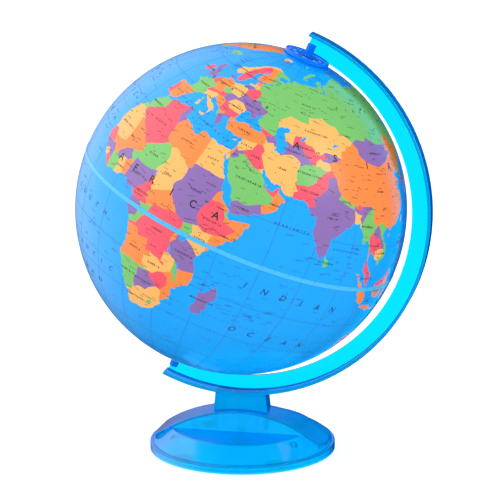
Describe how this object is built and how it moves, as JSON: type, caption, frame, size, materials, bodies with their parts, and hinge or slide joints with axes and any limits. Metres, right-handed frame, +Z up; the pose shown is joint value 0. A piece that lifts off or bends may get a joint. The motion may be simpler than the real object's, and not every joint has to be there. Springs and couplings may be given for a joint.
{
  "type": "desktop globe",
  "caption": "World globe that spins on a tilted axis in a see-through blue half-circle arm, with an hour dial at the north pole and a low oval base.",
  "frame": {"origin": "on the table under the centre of the ball, at the centre of the middle foot pad", "axes": "+Z up; +X is the side that the arm stands on and the north pole leans to; the arm lies in the XZ plane"},
  "size_m": [0.274, 0.2544, 0.327],
  "materials": {
    "base_plastic": "see-through blue polystyrene, injection moulded, glossy",
    "arm_plastic": "see-through blue polystyrene, injection moulded, glossy",
    "dial_plastic": "see-through blue polystyrene, darker, glossy",
    "cap_plastic": "light blue see-through plastic, glossy",
    "map_print": "printed paper map with a satin varnish",
    "tape_print": "printed equator tape, satin",
    "shell_plastic": "white high-impact polystyrene, thermoformed",
    "nylon": "natural nylon, moulded",
    "pin_steel": "drawn steel, bright",
    "zinc_steel": "zinc-plated steel",
    "pad_rubber": "black die-cut rubber, matt"
  },
  "bodies": {
    "stand": {"base_shell": "base_plastic", "base_cover": "base_plastic", "cover_screws": "zinc_steel", "foot_pads": "pad_rubber", "semi_meridian": "arm_plastic", "neck_screw": "zinc_steel", "neck_washer": "zinc_steel", "north_pin": "pin_steel", "south_pin": "pin_steel", "north_collar": "dial_plastic", "south_cup": "dial_plastic", "dial_washer": "nylon"},
    "globe": {"north_hemisphere": "shell_plastic", "south_hemisphere": "shell_plastic", "north_map": "map_print", "south_map": "map_print", "joint_ring": "shell_plastic", "equator_tape": "tape_print", "north_bush": "nylon", "south_bush": "nylon", "north_bush_ring": "nylon", "south_bush_ring": "nylon", "polar_cap": "cap_plastic"},
    "dial": {"hour_dial": "dial_plastic"}
  },
  "joints": [
    {"name": "globe_spin", "type": "hinge", "parent": "stand", "child": "globe", "pos_m": [0, 0, 0.1905], "axis": [0.3987, 0, 0.9171], "continuous": true},
    {"name": "dial_spin", "type": "hinge", "parent": "stand", "child": "dial", "pos_m": [0, 0, 0.1905], "axis": [0.3987, 0, 0.9171], "continuous": true}
  ]
}
